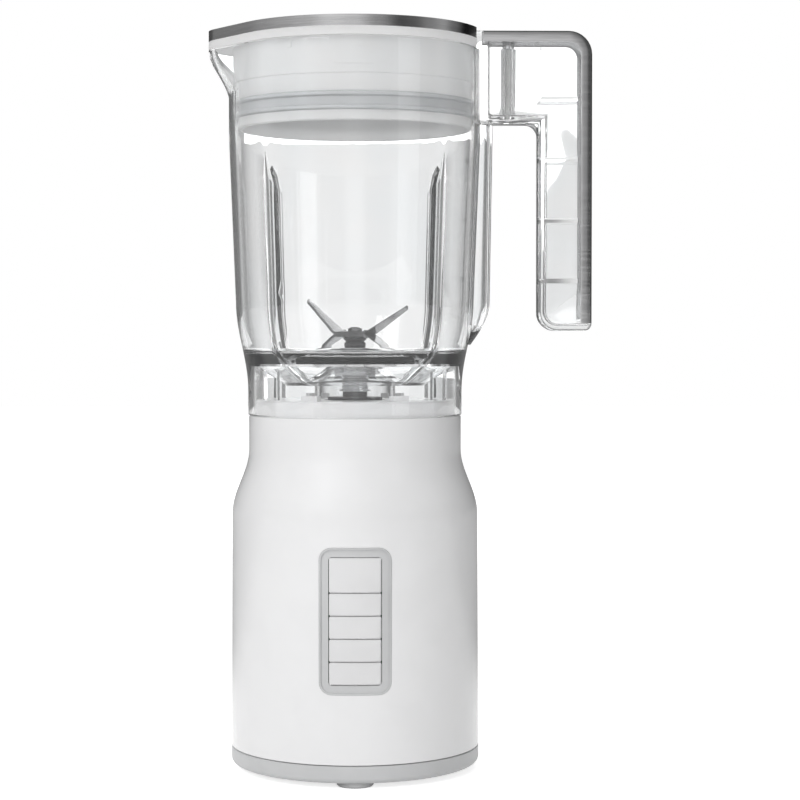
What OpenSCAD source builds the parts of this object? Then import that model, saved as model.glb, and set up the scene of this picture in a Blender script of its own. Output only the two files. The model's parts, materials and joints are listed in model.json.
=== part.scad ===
// Countertop blender: motor base with five keys, clear lift-off jug with an
// open handle, four-wing blade, pouring lid and filler cap. Millimetres.
// +Z is up, +X is the handle side, -X the spout, and the keys face -Y.
// The origin is on the motor axis, at the level the feet stand on.

/* [Base housing] */
// Outer radius of the housing at its bottom seam
base_r = 69.2; // [66:0.2:84]
// How much narrower the housing is at the top of its sides
side_draft = 0.7; // [0:0.1:3]
// Outer radius of the neck that carries the jug
neck_r = 59.2; // [56:0.2:62]
// Height of the nearly straight sides
side_h = 129; // [105:1:160]
// Height of the S-shaped shoulder
shoulder_h = 36; // [28:1:50]
// Height of the straight neck
neck_h = 18.5; // [16:0.5:30]
// Wall of the housing
housing_wall = 2.8; // [2:0.1:3.4]

/* [Bottom cover and feet] */
// Height of the visible cover ring
cover_h = 9.5; // [8:0.5:14]
// Shadow gap between cover and housing
seam_gap = 0.6; // [0.3:0.1:1]
// Thickness of the cover's floor
cover_floor = 2.6; // [2:0.1:4]
// Radius of the round on the cover's lower edge
cover_round = 3; // [1:0.5:4]
// Height of the feet below the cover
foot_h = 3; // [1.5:0.5:6]
// Radius of a foot
foot_r = 10; // [6:0.5:11]
// Distance from the seam radius to a foot's centre
foot_inset = 13; // [12:0.5:16]

/* [Key panel] */
// Height of the panel's centre above the table
panel_z = 89.6; // [80:1:100]
// Width of every key
key_w = 27.8; // [24:0.2:32]
// Height of each of the four lower keys
key_h = 11.9; // [10:0.1:12.5]
// Height of the tall key at the top
top_key_h = 18.6; // [14:0.2:20]
// Gap round each key
key_gap = 0.35; // [0.25:0.05:0.6]
// Visible width of the frame round the keys
frame_w = 4.95; // [3.5:0.05:6]
// Corner radius of the frame
frame_round = 6.6; // [4:0.2:8]
// Travel of a key
key_travel = 2.5; // [1.5:0.1:3]

/* [Motor] */
// Radius of the motor shaft
shaft_r = 4; // [3:0.1:4.5]
// Running clearance of a shaft in its bearing
run_gap = 0.03; // [0.01:0.01:0.08]
// Radius of the armature core
armature_r = 25; // [22:0.5:27]
// Height of the stator stack
stack_h = 40; // [32:1:46]
// Outer radius of the stator stack
stator_r = 46; // [43:0.5:48]
// Outer radius of the cooling fan
fan_r = 34; // [28:0.5:36]

/* [Jug] */
// Wall of the jug
jug_wall = 3.2; // [2.4:0.1:3.6]
// Height of the straight skirt round the seat
skirt_h = 13.2; // [11:0.2:16]
// Height of the curve from skirt to wall
curve_h = 50; // [40:1:60]
// Outer radius of the jug above that curve
jug_mid_r = 66.4; // [64:0.2:68]
// Outer radius of the collar
jug_top_r = 70; // [69:0.2:73]
// Height of the tapered wall
taper_h = 91.8; // [75:1:115]
// Height of the collar that takes the lid
collar_h = 47; // [44:1:56]
// Reach of the spout's tip from the axis
spout_reach = 81.2; // [80:0.1:88]
// Radius of the spout's tip, seen from above
spout_r = 22; // [16:0.5:26]
// Height of the spout's flare below the rim
flare_h = 37; // [30:1:40]
// Depth of an inner rib
rib_depth = 4.5; // [3:0.1:6]
// Width of an inner rib
rib_w = 5; // [3:0.1:7]

/* [Handle] */
// Distance from the axis to the outside of the grip
handle_reach = 131.5; // [126:0.5:142]
// Thickness of the grip along X
grip_t = 29.2; // [26:0.2:32]
// Width of the handle along Y
handle_w = 26; // [22:0.5:30]
// Height of the handle from its lower end to its top
handle_h = 165.9; // [150:0.1:180]
// Height of the arm that joins the grip to the collar
arm_h = 50.4; // [46:0.1:54]
// Wall of the clear handle
handle_wall = 3.6; // [2.6:0.1:4.2]
// Visible width of the steel strip
strip_w = 6.3; // [5:0.1:8]
// Radius of the handle's outer corner
handle_round = 13; // [10:0.5:16]

/* [Lid and cap] */
// Height of the lid's visible flange
flange_h = 4.5; // [3:0.1:6]
// Height of the steel band round the lid
band_h = 6.2; // [5:0.1:9]
// Thickness of the steel band
band_t = 1.4; // [1:0.1:2]
// Depth of the lid's skirt in the collar
lid_skirt_h = 43.9; // [36:0.1:45]
// Radius of the filler opening
filler_r = 22; // [18:0.5:26]

/* [Blade] */
// Radius that the tip of the flatter upper wing reaches
blade_r = 36; // [30:0.5:38]
// Upward bend of the steeper upper wing, in degrees
blade_up = 39; // [30:1:50]
// Upward bend of the flatter upper wing, in degrees
blade_up_low = 29; // [20:1:40]
// Downward bend of the lower wings, in degrees
blade_down = 32; // [20:1:36]
// Radius that the tips of the lower wings reach
lower_blade_r = 27; // [24:0.5:28]
// Thickness of the blade sheet
blade_t = 1.6; // [1:0.1:2]
// Width of a wing at its root
wing_root_w = 14; // [10:0.5:16]
// Width of a wing at its tip
wing_tip_w = 6; // [3:0.5:9]
// Width of the ground edge of a wing
wing_grind = 3.2; // [1:0.1:4]
// Thickness left at the ground edge
wing_edge_t = 0.4; // [0.2:0.1:0.8]
// Radius of the blade shaft
blade_shaft_r = 3; // [2.5:0.1:3.5]

/* [Hidden] */
$fn = 72;

// Overshoot of a cut, and the gap between pieces of one body that rest on each other
over = 1;
seat_gap = 0.02;

// Levels of the base, from the table up
cover_z = foot_h;
cover_top_z = cover_z + cover_h;
side_z = cover_top_z + seam_gap;
shoulder_z = side_z + side_h;
neck_z = shoulder_z + shoulder_h;
rim_z = neck_z + neck_h;
shoulder_r = base_r - side_draft;
housing_in_r = base_r - housing_wall;
rim_round = 0.8;
ledge_z = rim_z - 13.6;
ledge_t = 3;
ledge_w = 4.2;

// Seat that carries the jug
skirt_r = neck_r + 0.4;
skirt_in_r = skirt_r - jug_wall;
skirt_gap = 0.4;
seat_r = skirt_in_r - 0.8;
seat_wall = 2.6;
deck_t = 2.5;
deck_z = rim_z + 8.9;
well_r = 17;
well_floor_z = deck_z - 17.5;
well_wall = 2;
lug_angles = [60, 120, 240, 300];
lug_ring_r = 47;
lug_w = 10;
lug_h = 3;

// Screws and their bosses
cover_boss_r = 4;
cover_ring_r = base_r - 12.5;
cover_boss_top_z = side_z + 26;
screw_r = 1.5;
screw_head_r = 2.9;
spigot_h = 4;
spigot_gap = 0.2;
spigot_t = 2;
foot_seat = 1.2;
head_z = cover_z + cover_floor + 2;
vent_in_r = 14;
vent_w = 3;

// Key panel, measured from its centre
window_h = top_key_h + 4 * key_h + 6 * key_gap;
window_w = key_w + 2 * key_gap;
panel_w = window_w + 2 * frame_w;
panel_h = window_h + 2 * frame_w;
window_round = 1.9;
bezel_r = housing_r(panel_z - panel_h / 2) + 0.15;
bezel_lip = 0.9;
bezel_dish = 0.7;
bezel_gap = 0.1;
bezel_flange = 2;
flange_out_r = housing_r(panel_z + panel_h / 2) - housing_wall - 0.05;
flange_in_r = flange_out_r - 1.6;
key_face_r = bezel_r - 0.25;
key_t = 4.4;
key_step = 0.6;
stem_w = 6;
stem_h = 5;
stem_len = 9;
stem_gap = 0.3;
stem_free = 4.4;
well_depth = stem_len - stem_free + key_travel + 0.8;
block_y = key_face_r - key_t - stem_free;
block_t = 10;
block_w = 20;
board_y = block_y - block_t;
board_t = 1.6;
board_w = 58;
board_h = window_h + 24;
board_hole_x = board_w / 2 - 4;
board_hole_z = board_h / 2 - 4;
board_boss_r = 3.2;

// Cord gland in the back of the housing
gland_z = side_z + 14;
gland_r = 7.5;
gland_bore_r = 3.6;
gland_flange_r = 10;
gland_flange_t = 2.2;
gland_len = 16;

// Motor, hung under the deck
pillar_r = 5;
pillar_ring_r = 38;
damper_h = 4;
bracket_t = 3.5;
bracket_top_z = deck_z - deck_t - 27.5 - damper_h;
bracket_z = bracket_top_z - bracket_t;
bearing_r = 11;
bearing_h = 7;
bearing_lip = 1.5;
hub_r = 14;
hub_h = bearing_h + bearing_lip + 2;
leg_h = 16;
stack_top_z = bracket_z - leg_h;
stack_z = stack_top_z - stack_h;
bolt_ring_r = stator_r - 4.5;
bolt_r = 2;
leg_r = 4;
lower_leg_h = 28.5;
lower_bracket_z = stack_z - lower_leg_h - bracket_t;
air_gap = 0.7;
slot_angles = [for (i = [0:11]) 30 * i];
slot_in_r = 13;
slot_w = 3.6;
coil_in_r = armature_r + 3;
coil_out_r = stator_r - 9;
coil_over = 9;
winding_over = 8;
core_inset = 2;
commutator_r = 12.5;
commutator_h = 15;
commutator_z = stack_z - winding_over - commutator_h - 1;
brush_w = 6;
brush_h = 9;
brush_z = commutator_z + 3;
brush_len = 17;
brush_spring_len = 9;
brush_spring_r = 2.4;
fan_h = 13;
fan_z = lower_bracket_z + bracket_t - hub_h - fan_h - 2;
shaft_z = fan_z - 2;
shaft_top_z = deck_z - 6.5;
shroud_r = fan_r + 2;
shroud_t = 2;
bolt_head_h = 3;
shroud_top_z = lower_bracket_z - bolt_head_h - 1;

// Drive couplings
coupling_disc_r = 15.2;
coupling_disc_t = 2.5;
coupling_top_z = deck_z + 1.6;
coupling_hub_r = 8.8;
coupling_z = well_floor_z + 4;
dog_r = 6.4;
dog_gap = 0.35;
dog_lobes = 6;
dog_depth = 6.4;
neck_dog_r = 6.9;

// Levels of the jug
jug_z = rim_z + skirt_gap;
curve_z = jug_z + skirt_h;
wall_z = curve_z + curve_h;
collar_z = wall_z + taper_h;
jug_rim_z = collar_z + collar_h;
top_z = jug_rim_z + flange_h + band_h;
jug_in_r = jug_top_r - jug_wall;
trough_z = deck_z + 12.5;
trough_r = [29, 38];
floor_t = 3.6;
floor_edge_z = trough_z + 13.5;
boss_top_z = trough_z + 15.5;
boss_t = 4;
boss_r = 12;
guard_r = 22.5;
guard_t = 2;
leg_angles = [33, 147, 213, 327];
leg_len = 8;
leg_t = 4;
leg_gap = 0.3;
rib_top_z = collar_z - 12;
rib_tip_h = 17;
floor_round = 3.3;
spine_w = 14;
spine_wall = 2.2;
spine_depth = 9;
spout_z = jug_rim_z - flare_h;

// Blade bearing and shaft
housing_tube_r = 7.2;
bush_r = 5.2;
bush_h = 9;
housing_flange_r = 8.3;
housing_flange_t = 1.7;
housing_bottom_z = deck_z + 6.4;
washer_r = 12.5;
washer_t = 1.3;
nut_h = 5.6;
nut_r = 11.5;
upper_blade_turn = -33;
lower_blade_turn = 30;
thrust_r = 8.6;
thrust_t = 1.2;
blade_z = boss_top_z + 8.6;
blade_hub_r = 9;
wing_skew = 2;
wing_slant = 2;
blade_stud_r = 2;
blade_nut_h = 1.6;

// Lid
lid_gap = 0.3;
lid_z = jug_rim_z + lid_gap;
lid_edge = 0.6;
lid_flat_x = jug_top_r - 3.4;
lid_skirt_r = jug_in_r - 0.8;
lid_skirt_t = 3.6;
lid_skirt_z = jug_rim_z - lid_skirt_h;
lid_step_z = lid_skirt_z + 24.3;
lid_floor_t = 2.8;
tray_z = lid_z + flange_h + 1.3;
seal_z = lid_skirt_z + 5.2;
seal_h = 10.2;
seal_groove = 1.4;
cap_gap = 1;
cap_wall = 2;
cap_depth = 15;
cap_flange = 3;
cap_collar_h = 2.4;
cap_z = tray_z + cap_collar_h + 0.3;
cap_top_z = top_z - 0.3;
cap_seal_z = cap_z - 9;
cap_seal_h = 2.4;

// Handle
handle_x = jug_top_r;
handle_z = top_z - handle_h;
arm_z = top_z - arm_h;
grip_x = handle_reach - grip_t;
grip_round = 10;
web_round = 7;
grip_rib_z = [for (i = [0:3]) arm_z + 11.6 - 33.6 * i];
grip_rib_t = 2.6;
spine_z = floor_edge_z + 1.5;
strip_t = 1.2;
strip_end_z = handle_z + 4.2;
handle_edge = 3;
handle_boss_x = jug_top_r + 15;
handle_boss_r = 4.4;

// Easing from 0 to 1 with level ends
function ease(t) = 0.5 - 0.5 * cos(180 * max(0, min(1, t)));

// Outer radius of the housing at a height
function housing_r(z) =
    z <= shoulder_z ? base_r - side_draft * (z - side_z) / side_h
    : neck_r + (shoulder_r - neck_r) * (1 - ease((z - shoulder_z) / shoulder_h));

// Outer radius of the jug at a height
function jug_r(z) =
    z <= wall_z ? skirt_r + (jug_mid_r - skirt_r) * ease((z - curve_z) / curve_h)
    : jug_mid_r + (jug_top_r - jug_mid_r) * min(1, (z - wall_z) / taper_h);

// n + 1 values from a to b
function steps(a, b, n) = [for (i = [0:n]) a + (b - a) * i / n];

// Points on an arc round c
function arc(c, r, from, to, n = 8) = [for (a = steps(from, to, n)) c + r * [cos(a), sin(a)]];

// Rectangle from low to high with corner radii [low left, low right, high right, high left]
function round_rect(low, high, r, n = 6) = concat(
    arc([high.x - r[1], low.y + r[1]], r[1], 270, 360, n),
    arc([high.x - r[2], high.y - r[2]], r[2], 0, 90, n),
    arc([low.x + r[3], high.y - r[3]], r[3], 90, 180, n),
    arc([low.x + r[0], low.y + r[0]], r[0], 180, 270, n));

// Circle of radius r drawn out along -X to a tip of radius tip at the given reach
function teardrop(r, tip, reach, n = 48, m = 16) =
    let (d = max(0.01, reach - tip), a = acos(min(1, (r - tip) / d)))
    concat(arc([0, 0], r, a - 180, 180 - a, n), arc([-d, 0], tip, 180 - a + 1, 179 + a, m));

// Solid through level rings of points, which all have the same count
module loft(rings, heights) {
    n = len(rings[0]);
    last = len(rings) - 1;
    points = [for (k = [0:last]) for (p = rings[k]) [p.x, p.y, heights[k]]];
    sides = [for (k = [0:last - 1]) for (i = [0:n - 1])
        let (j = (i + 1) % n, a = k * n, b = a + n)
        each [[a + i, b + i, b + j], [a + i, b + j, a + j]]];
    caps = [[for (i = [0:n - 1]) i], [for (i = [n - 1:-1:0]) last * n + i]];
    polyhedron(points, concat(sides, caps));
}

// Ring between two radii
module ring(out_r, in_r, z, h) {
    translate([0, 0, z]) difference() {
        cylinder(r = out_r, h = h);
        translate([0, 0, -over]) cylinder(r = in_r, h = h + 2 * over);
    }
}

// Copies at angles on a circle of radius r
module around(angles, r) {
    for (a = angles) rotate([0, 0, a]) translate([r, 0, 0]) children();
}
quarters = [0, 90, 180, 270];
diagonals = [45, 135, 225, 315];

// ---- Base: casing ----

module base_housing() {
    outer = [for (z = concat([side_z], steps(shoulder_z, neck_z, 18))) [housing_r(z), z]];
    inner = [for (i = [len(outer) - 1:-1:0]) [outer[i].x - housing_wall, outer[i].y]];
    lip = arc([neck_r - rim_round, rim_z - rim_round], rim_round, 0, 90, 4);
    boss_z = side_z + spigot_h;
    color("white") difference() {
        union() {
            rotate_extrude() polygon(concat(outer, lip, [[neck_r - housing_wall, rim_z]], inner));
            ring(neck_r - housing_wall + over, neck_r - housing_wall - ledge_w, ledge_z - ledge_t, ledge_t);
            around(diagonals, cover_ring_r) {
                translate([0, 0, boss_z]) cylinder(r = cover_boss_r, h = cover_boss_top_z - boss_z);
                translate([0, -1, boss_z + 2])
                    cube([housing_in_r + over - cover_ring_r, 2, cover_boss_top_z - boss_z - 4]);
            }
            intersection() {
                board_posts(board_boss_r, board_y, base_r);
                cylinder(r = flange_out_r + over, h = rim_z);
            }
        }
        around(diagonals, cover_ring_r)
            translate([0, 0, boss_z - over]) cylinder(r = screw_r, h = 18 + over);
        board_posts(screw_r, board_y - over, board_y + 8);
        panel_prism(panel_w + 2 * bezel_gap, panel_h + 2 * bezel_gap, frame_round + bezel_gap);
        translate([0, 0, gland_z]) rotate([-90, 0, 0]) cylinder(r = gland_r + seat_gap, h = 2 * base_r);
    }
}

// Posts along -Y at the control board's four holes, between two distances from the axis
module board_posts(r, from, to) {
    for (x = [-board_hole_x, board_hole_x], z = [-board_hole_z, board_hole_z])
        translate([x, -from, panel_z + z]) rotate([90, 0, 0]) cylinder(r = r, h = to - from);
}

module bottom_cover() {
    spigot_r = housing_in_r - spigot_gap;
    floor_z = cover_z + cover_floor;
    color("silver") difference() {
        union() {
            rotate_extrude() polygon(concat(
                [[0, cover_z]],
                arc([base_r - cover_round, cover_z + cover_round], cover_round, 270, 360, 6),
                [[base_r, cover_top_z - 0.4], [base_r - 0.4, cover_top_z], [spigot_r, cover_top_z],
                 [spigot_r, side_z + spigot_h], [spigot_r - spigot_t, side_z + spigot_h],
                 [spigot_r - spigot_t, floor_z + 2], [spigot_r - spigot_t - 2, floor_z], [0, floor_z]]));
            around(diagonals, cover_ring_r)
                translate([0, 0, floor_z - over])
                    cylinder(r = cover_boss_r, h = side_z + spigot_h - floor_z + over);
        }
        around(quarters, base_r - foot_inset)
            translate([0, 0, cover_z - over]) cylinder(r = foot_r + 0.15, h = foot_seat + over);
        around(diagonals, cover_ring_r) {
            translate([0, 0, cover_z - over]) cylinder(r = screw_r + 0.2, h = base_r);
            translate([0, 0, cover_z - over]) cylinder(r = screw_head_r + 0.3, h = head_z - cover_z + over);
        }
        around(steps(0, 345, 23), vent_in_r)
            translate([0, -vent_w / 2, cover_z - over])
                cube([fan_r - 2 - vent_in_r, vent_w, cover_floor + 2 * over]);
    }
}

module feet() {
    color("dimgray") around(quarters, base_r - foot_inset) {
        cylinder(r1 = foot_r - 0.8, r2 = foot_r, h = 0.8);
        translate([0, 0, 0.8]) cylinder(r = foot_r, h = cover_z + foot_seat - 0.8);
    }
}

// Pan-head screw that points up from the underside of its head
module screw(head_bottom_z, length, r = screw_r, head_r = screw_head_r, head_h = 2) {
    translate([0, 0, head_bottom_z]) difference() {
        union() {
            cylinder(r = head_r, h = head_h);
            cylinder(r = r - seat_gap, h = head_h + length);
        }
        translate([-head_r, -0.4, -over]) cube([2 * head_r, 0.8, over + 0.9]);
    }
}

module housing_screws() {
    color("gray") around(diagonals, cover_ring_r) screw(head_z - 2 - seat_gap, 24);
}

module cord_gland() {
    out_r = housing_r(gland_z);
    in_r = out_r - housing_wall;
    color("whitesmoke") translate([0, 0, gland_z]) difference() {
        union() {
            intersection() {
                along_y(gland_r, out_r - gland_len + gland_flange_t, out_r + gland_flange_t);
                cylinder(r = out_r + gland_flange_t + over, h = 4 * gland_r, center = true);
            }
            difference() {
                along_y(gland_flange_r, out_r - over, out_r + gland_flange_t);
                cylinder(r = out_r + 0.1, h = 4 * gland_r, center = true);
            }
            intersection() {
                along_y(gland_flange_r - 1, in_r - 3.5, out_r);
                cylinder(r = in_r - 0.1, h = 4 * gland_r, center = true);
            }
        }
        along_y(gland_bore_r, 0, out_r + 2 * gland_flange_t);
    }
}

// Cylinder along +Y between two distances from the axis
module along_y(r, from, to) {
    translate([0, from, 0]) rotate([-90, 0, 0]) cylinder(r = r, h = to - from);
}

// ---- Base: key panel ----

// Rounded block from the axis out through the front of the housing
module panel_prism(w, h, r, z = panel_z) {
    translate([0, 0, z]) rotate([90, 0, 0]) linear_extrude(base_r + 5)
        polygon(round_rect([-w / 2, -h / 2], [w / 2, h / 2], [r, r, r, r]));
}

// The part of such a block between two radii
module panel_piece(w, h, r, in_r, out_r, z = panel_z) {
    intersection() {
        panel_prism(w, h, r, z);
        ring(out_r, in_r, z - h, 2 * h);
    }
}

module key_bezel() {
    lip = 2 * bezel_lip;
    flange = 2 * bezel_flange;
    color("silver") difference() {
        union() {
            panel_piece(panel_w, panel_h, frame_round, flange_in_r, bezel_r);
            panel_piece(panel_w + flange, panel_h + flange, frame_round + bezel_flange,
                        flange_in_r, flange_out_r);
        }
        panel_prism(window_w, window_h, window_round);
        panel_piece(panel_w - lip, panel_h - lip, frame_round - bezel_lip, bezel_r - bezel_dish, bezel_r + over);
    }
}

// Height and middle of a key, counted from the tall one at the top
function key_size(i) = i == 0 ? top_key_h : key_h;
function key_top(i) = panel_z + window_h / 2 - key_gap
    - (i == 0 ? 0 : top_key_h + key_gap + (i - 1) * (key_h + key_gap));
function key_mid(i) = key_top(i) - key_size(i) / 2;

module key(i) {
    h = key_size(i);
    back_r = key_face_r - key_t;
    color("whitesmoke") {
        panel_piece(key_w, h, 1, back_r, key_face_r - key_step, key_mid(i));
        panel_piece(key_w - 2 * key_step, h - 2 * key_step, 0.8, back_r + over, key_face_r, key_mid(i));
        translate([-stem_w / 2, -back_r - over, key_mid(i) - stem_h / 2])
            cube([stem_w, stem_len + over, stem_h]);
    }
}
module key_1() key(0);
module key_2() key(1);
module key_3() key(2);
module key_4() key(3);
module key_5() key(4);

module switch_block() {
    color("dimgray") difference() {
        translate([-block_w / 2, -block_y, panel_z - window_h / 2]) cube([block_w, block_t, window_h]);
        for (i = [0:4])
            translate([-stem_w / 2 - stem_gap, -block_y - over, key_mid(i) - stem_h / 2 - stem_gap])
                cube([stem_w + 2 * stem_gap, well_depth + over, stem_h + 2 * stem_gap]);
    }
}

module control_board() {
    color("seagreen") difference() {
        translate([-board_w / 2, -board_y, panel_z - board_h / 2]) cube([board_w, board_t, board_h]);
        board_posts(screw_r + 0.2, board_y - board_t - over, board_y + over);
    }
}

module board_screws() {
    color("gray") for (x = [-board_hole_x, board_hole_x], z = [-board_hole_z, board_hole_z])
        translate([x, 0, panel_z + z]) rotate([90, 0, 0]) screw(board_y - board_t - 2, 6);
}

// ---- Base: seat of the jug ----

module jug_seat() {
    under_z = deck_z - deck_t;
    color("white") difference() {
        union() {
            rotate_extrude() polygon([
                [well_r, deck_z], [seat_r - 1, deck_z], [seat_r, deck_z - 1], [seat_r, ledge_z],
                [seat_r - seat_wall, ledge_z], [seat_r - seat_wall, under_z],
                [well_r + well_wall, under_z], [well_r + well_wall, well_floor_z - well_wall],
                [shaft_r + 2, well_floor_z - well_wall], [shaft_r + 2, well_floor_z],
                [well_r, well_floor_z]]);
            around(quarters, pillar_ring_r)
                translate([0, 0, bracket_top_z + damper_h])
                    cylinder(r = pillar_r, h = under_z + over - bracket_top_z - damper_h);
            around(lug_angles, lug_ring_r) translate([-2, -lug_w / 2, deck_z - over]) cube([4, lug_w, lug_h + over]);
        }
        around(quarters, pillar_ring_r)
            translate([0, 0, bracket_top_z]) cylinder(r = screw_r + 0.5, h = damper_h + 16);
    }
}

module drive_seal() {
    color("dimgray") ring(shaft_r + 4, shaft_r + 0.3, well_floor_z, 1.5);
}

// ---- Base: motor ----

module motor_dampers() {
    color("dimgray") around(quarters, pillar_ring_r) difference() {
        translate([0, 0, bracket_top_z]) cylinder(r = pillar_r + 1, h = damper_h);
        translate([0, 0, bracket_top_z - over]) cylinder(r = screw_r + 1, h = damper_h + 2 * over);
    }
}

module motor_screws() {
    color("gray") around(quarters, pillar_ring_r)
        screw(bracket_z - 2, bracket_t + damper_h + 14, screw_r + 0.5);
}

// Open plate on four legs, with a cup for a bearing; legs point down from plate to stack
module bracket(z, hub_z) {
    difference() {
        union() {
            translate([0, 0, z]) cylinder(r = stator_r, h = bracket_t);
            translate([0, 0, hub_z]) cylinder(r = hub_r, h = hub_h);
        }
        for (a = quarters) rotate([0, 0, a + 20]) rotate_extrude(angle = 50)
            translate([hub_r + 3, z - over]) square([stator_r - hub_r - 13, bracket_t + 2 * over]);
        around(diagonals, bolt_ring_r) translate([0, 0, z - over]) cylinder(r = bolt_r + 0.1, h = bracket_t + 2 * over);
        around(quarters, pillar_ring_r)
            translate([0, 0, z - over]) cylinder(r = screw_r + 1, h = bracket_t + 2 * over);
        translate([0, 0, hub_z - over]) cylinder(r = shaft_r + 2, h = hub_h + 2 * over);
        translate([0, 0, hub_z - over]) cylinder(r = bearing_r, h = hub_h - bearing_lip + over);
    }
}

module bracket_legs(z, h) {
    around(diagonals, bolt_ring_r) difference() {
        translate([0, 0, z]) cylinder(r = leg_r, h = h);
        translate([0, 0, z - over]) cylinder(r = bolt_r + 0.1, h = h + 2 * over);
    }
}

module upper_bracket() {
    color("darkgray") {
        bracket(bracket_z, bracket_top_z - hub_h);
        bracket_legs(stack_top_z, leg_h + over);
    }
}

module lower_bracket() {
    color("darkgray") {
        bracket(lower_bracket_z, lower_bracket_z + bracket_t - hub_h);
        bracket_legs(stack_z - lower_leg_h - over, lower_leg_h + over);
    }
}

module tie_bolts() {
    length = bracket_top_z - lower_bracket_z;
    color("gray") around(diagonals, bolt_ring_r) {
        screw(lower_bracket_z - bolt_head_h, length + 3, bolt_r, bolt_r + 1.8, bolt_head_h);
        translate([0, 0, bracket_top_z]) difference() {
            cylinder(r = bolt_r + 2, h = 2.4, $fn = 6);
            translate([0, 0, -over]) cylinder(r = bolt_r, h = 2.4 + 2 * over);
        }
    }
}

module stator_core() {
    slot_half = 38;
    color("slategray") difference() {
        translate([0, 0, stack_z]) cylinder(r = stator_r, h = stack_h);
        translate([0, 0, stack_z - over]) cylinder(r = armature_r + air_gap, h = stack_h + 2 * over);
        for (a = [0, 180]) rotate([0, 0, a - slot_half]) rotate_extrude(angle = 2 * slot_half)
            translate([armature_r, stack_z - over])
                square([coil_out_r + 0.5 - armature_r, stack_h + 2 * over]);
        around(diagonals, bolt_ring_r)
            translate([0, 0, stack_z - over]) cylinder(r = bolt_r + 0.1, h = stack_h + 2 * over);
    }
}

// Two saddle coils: straight sides in the slots, and end turns that arch over the poles
module field_coils() {
    side = 26;
    first = 6;
    span = 180 - 2 * first;
    thick = coil_out_r - coil_in_r;
    color("peru") for (a = [first, 180 + first]) rotate([0, 0, a]) difference() {
        rotate_extrude(angle = span)
            translate([coil_in_r, stack_z - coil_over]) square([thick, stack_h + 2 * coil_over]);
        rotate([0, 0, side]) rotate_extrude(angle = span - 2 * side)
            translate([coil_in_r - over, stack_z - 1]) square([thick + 2 * over, stack_h + 2]);
    }
}

module bearing(z) {
    color("silver") rotate_extrude() polygon([
        [shaft_r + run_gap, z], [shaft_r + 2.4, z], [shaft_r + 2.8, z + 0.6], [bearing_r - 2.4, z + 0.6],
        [bearing_r - 2, z], [bearing_r - seat_gap, z], [bearing_r - seat_gap, z + bearing_h],
        [bearing_r - 2, z + bearing_h], [bearing_r - 2.4, z + bearing_h - 0.6],
        [shaft_r + 2.8, z + bearing_h - 0.6], [shaft_r + 2.4, z + bearing_h],
        [shaft_r + run_gap, z + bearing_h]]);
}
module upper_bearing() bearing(bracket_top_z - bearing_lip - bearing_h);
module lower_bearing() bearing(lower_bracket_z + bracket_t - bearing_lip - bearing_h);

// Box tubes that guide the brushes, each on a foot that stands on the lower bracket
module brush_holders() {
    wall = 2;
    from = commutator_r + 1.5;
    plate_z = lower_bracket_z + bracket_t;
    color("goldenrod") for (a = [0, 180]) rotate([0, 0, a]) difference() {
        union() {
            translate([from, -brush_w / 2 - wall, brush_z - wall])
                cube([brush_len + brush_spring_len + 1, brush_w + 2 * wall, brush_h + 2 * wall]);
            translate([from + 5, -brush_w / 2, plate_z]) cube([8, brush_w, brush_z - wall - plate_z]);
        }
        translate([from - over, -brush_w / 2 - 0.1, brush_z - 0.1])
            cube([brush_len + brush_spring_len - 1.4 + over, brush_w + 0.2, brush_h + 0.2]);
    }
}

module carbon_brushes() {
    color("dimgray") for (a = [0, 180]) rotate([0, 0, a])
        translate([commutator_r + 0.05, -brush_w / 2, brush_z]) cube([brush_len, brush_w, brush_h]);
}

// Closely wound springs behind the brushes, drawn as ridged tubes
module brush_springs() {
    from = commutator_r + 0.05 + brush_len + seat_gap;
    turns = 8;
    wire = (brush_spring_len - 0.1) / turns / 2;
    color("silver") for (a = [0, 180]) rotate([0, 0, a])
        translate([from, 0, brush_z + brush_h / 2]) rotate([0, 90, 0]) rotate_extrude() polygon(concat(
            [for (i = [0:2 * turns]) [brush_spring_r - (i % 2 == 0 ? 0.9 * wire : 0), wire * i]],
            [[brush_spring_r - 1.6 * wire, 2 * wire * turns], [brush_spring_r - 1.6 * wire, 0]]));
}

// Duct round the fan, which stands on the bottom cover
module fan_shroud() {
    floor_z = cover_z + cover_floor;
    color("dimgray") {
        ring(shroud_r + shroud_t, shroud_r, floor_z, shroud_top_z - floor_z);
        ring(shroud_r + shroud_t + 3, shroud_r, floor_z, 2);
    }
}

module motor_shaft() {
    color("silver") translate([0, 0, shaft_z]) {
        cylinder(r = shaft_r, h = shaft_top_z - shaft_z - 1);
        translate([0, 0, shaft_top_z - shaft_z - 1]) cylinder(r1 = shaft_r, r2 = shaft_r - 0.7, h = 1);
    }
}

// Slotted core; the windings' bars lie in the slots
module armature_core() {
    color("slategray") difference() {
        ring(armature_r, shaft_r + seat_gap, stack_z + core_inset, stack_h - 2 * core_inset);
        for (a = slot_angles) rotate([0, 0, a]) translate([slot_in_r, 0, stack_z]) {
            translate([0, -slot_w / 2, 0]) cube([armature_r - 2 - slot_in_r, slot_w, stack_h]);
            translate([0, -slot_w / 4, 0]) cube([armature_r, slot_w / 2, stack_h]);
        }
    }
}

module armature_windings() {
    low_z = stack_z - winding_over + 1;
    high_z = stack_top_z + winding_over - 1;
    color("peru") {
        for (a = slot_angles) rotate([0, 0, a])
            translate([slot_in_r + 0.2, -slot_w / 2 + 0.2, low_z + 2])
                cube([armature_r - 2.6 - slot_in_r, slot_w - 0.4, high_z - low_z - 4]);
        for (z = [low_z, stack_top_z - core_inset + 0.2])
            rotate_extrude() translate([shaft_r + 1, z])
                polygon(round_rect([0, 0], [armature_r - 2.5 - shaft_r, winding_over], [3, 3, 3, 3]));
    }
}

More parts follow.
